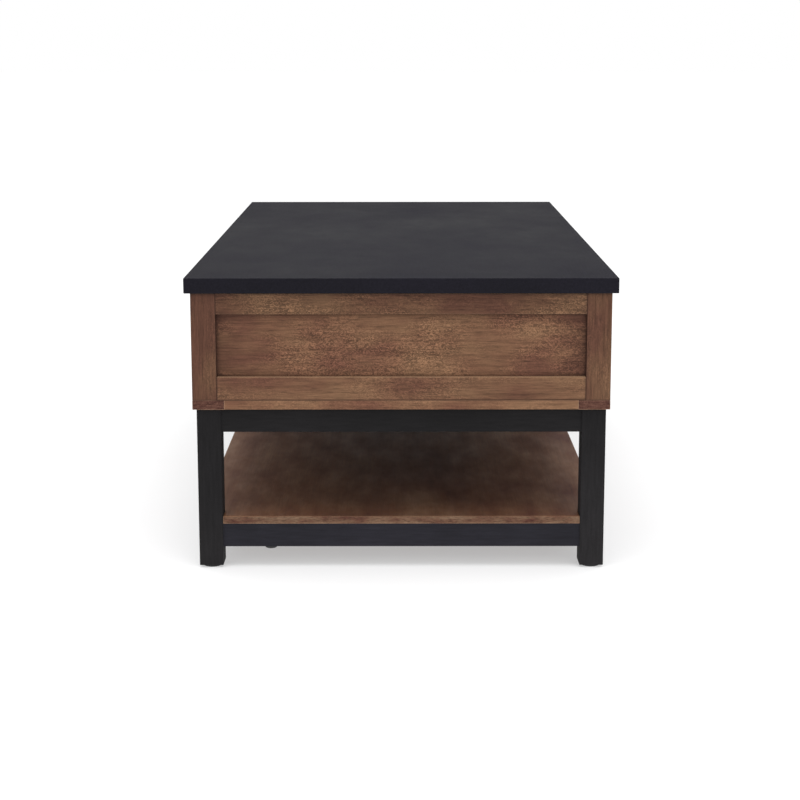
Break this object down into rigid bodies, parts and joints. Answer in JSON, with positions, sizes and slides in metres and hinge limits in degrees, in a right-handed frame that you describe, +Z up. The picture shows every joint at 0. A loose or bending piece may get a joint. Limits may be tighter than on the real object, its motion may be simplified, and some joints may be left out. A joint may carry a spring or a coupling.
{
  "type": "lift top coffee table",
  "caption": "Coffee table with a black lid that lifts up and forwards over a brown frame-and-panel storage box, on square black legs with a low shelf.",
  "frame": {"origin": "on the floor under the middle of the closed table", "axes": "+X along the length to the user's right, +Y to the rear (the user sits at -Y and the lid comes out that way), +Z up"},
  "size_m": [1.27, 0.711, 0.495],
  "materials": {
    "black_wood": "satin black paint",
    "brown_wood": "rough-sawn brown stain",
    "shelf_wood": "satin brown stain",
    "floor_board": "matt board",
    "dowel_wood": "bare beech",
    "black_plastic": "moulded",
    "rubber_pad": "matt",
    "black_steel": "black powder coat",
    "spring_steel": "oiled",
    "zinc_steel": "zinc plated"
  },
  "bodies": {
    "table": {"assist_spring_left": "spring_steel", "assist_spring_right": "spring_steel", "base_bracket_left": "black_steel", "base_bracket_right": "black_steel", "base_bracket_screws": "zinc_steel", "base_strip_front": "brown_wood", "base_strip_left": "brown_wood", "base_strip_rear": "brown_wood", "base_strip_right": "brown_wood", "box_floor": "floor_board", "corner_post_front_left": "brown_wood", "corner_post_front_right": "brown_wood", "corner_post_rear_left": "brown_wood", "corner_post_rear_right": "brown_wood", "end_bottom_rail_left": "brown_wood", "end_bottom_rail_right": "brown_wood", "end_panel_left": "brown_wood", "end_panel_right": "brown_wood", "end_top_rail_left": "brown_wood", "end_top_rail_right": "brown_wood", "foot_glides": "black_plastic", "front_bottom_rail": "brown_wood", "front_centre_stile": "brown_wood", "front_panel_left": "brown_wood", "front_panel_right": "brown_wood", "front_top_rail": "brown_wood", "leg_dowels": "dowel_wood", "leg_front_left": "black_wood", "leg_front_right": "black_wood", "leg_rear_left": "black_wood", "leg_rear_right": "black_wood", "lid_bumpers": "rubber_pad", "lower_end_rail_left": "black_wood", "lower_end_rail_right": "black_wood", "lower_long_rail_front": "black_wood", "lower_long_rail_rear": "black_wood", "lower_pivot_pins": "zinc_steel", "rear_bottom_rail": "brown_wood", "rear_centre_stile": "brown_wood", "rear_panel_left": "brown_wood", "rear_panel_right": "brown_wood", "rear_top_rail": "brown_wood", "shelf": "shelf_wood", "shelf_bolts": "black_plastic", "spring_anchor_pins": "zinc_steel", "stop_pins": "zinc_steel", "upper_end_rail_left": "black_wood", "upper_end_rail_right": "black_wood", "upper_long_rail_front": "black_wood", "upper_long_rail_rear": "black_wood"},
    "lift_arms": {"lift_arm_left": "black_steel", "lift_arm_right": "black_steel", "spring_tail_pins": "zinc_steel"},
    "front_links": {"front_link_left": "black_steel", "front_link_right": "black_steel"},
    "top": {"lid_top": "black_wood", "top_bracket_left": "black_steel", "top_bracket_right": "black_steel", "top_bracket_screws": "zinc_steel", "upper_pivot_pins": "zinc_steel"}
  },
  "joints": [
    {"name": "lift", "type": "hinge", "parent": "table", "child": "lift_arms", "pos_m": [0, -0.06, 0.377], "axis": [1, 0, 0], "range_deg": [0, 110.4], "deforming": ["assist_spring_left", "assist_spring_right"]},
    {"name": "lid_level", "type": "hinge", "parent": "lift_arms", "child": "top", "pos_m": [0, 0.21192, 0.44379], "axis": [1, 0, 0], "range_deg": [-110.4, 0]},
    {"name": "front_link", "type": "hinge", "parent": "table", "child": "front_links", "pos_m": [0, -0.2, 0.377], "axis": [1, 0, 0], "range_deg": [0, 110.4]}
  ],
  "couplings": [
    {"joint": "lid_level", "follows": "lift", "ratio": -1},
    {"joint": "front_link", "follows": "lift", "ratio": 1}
  ]
}
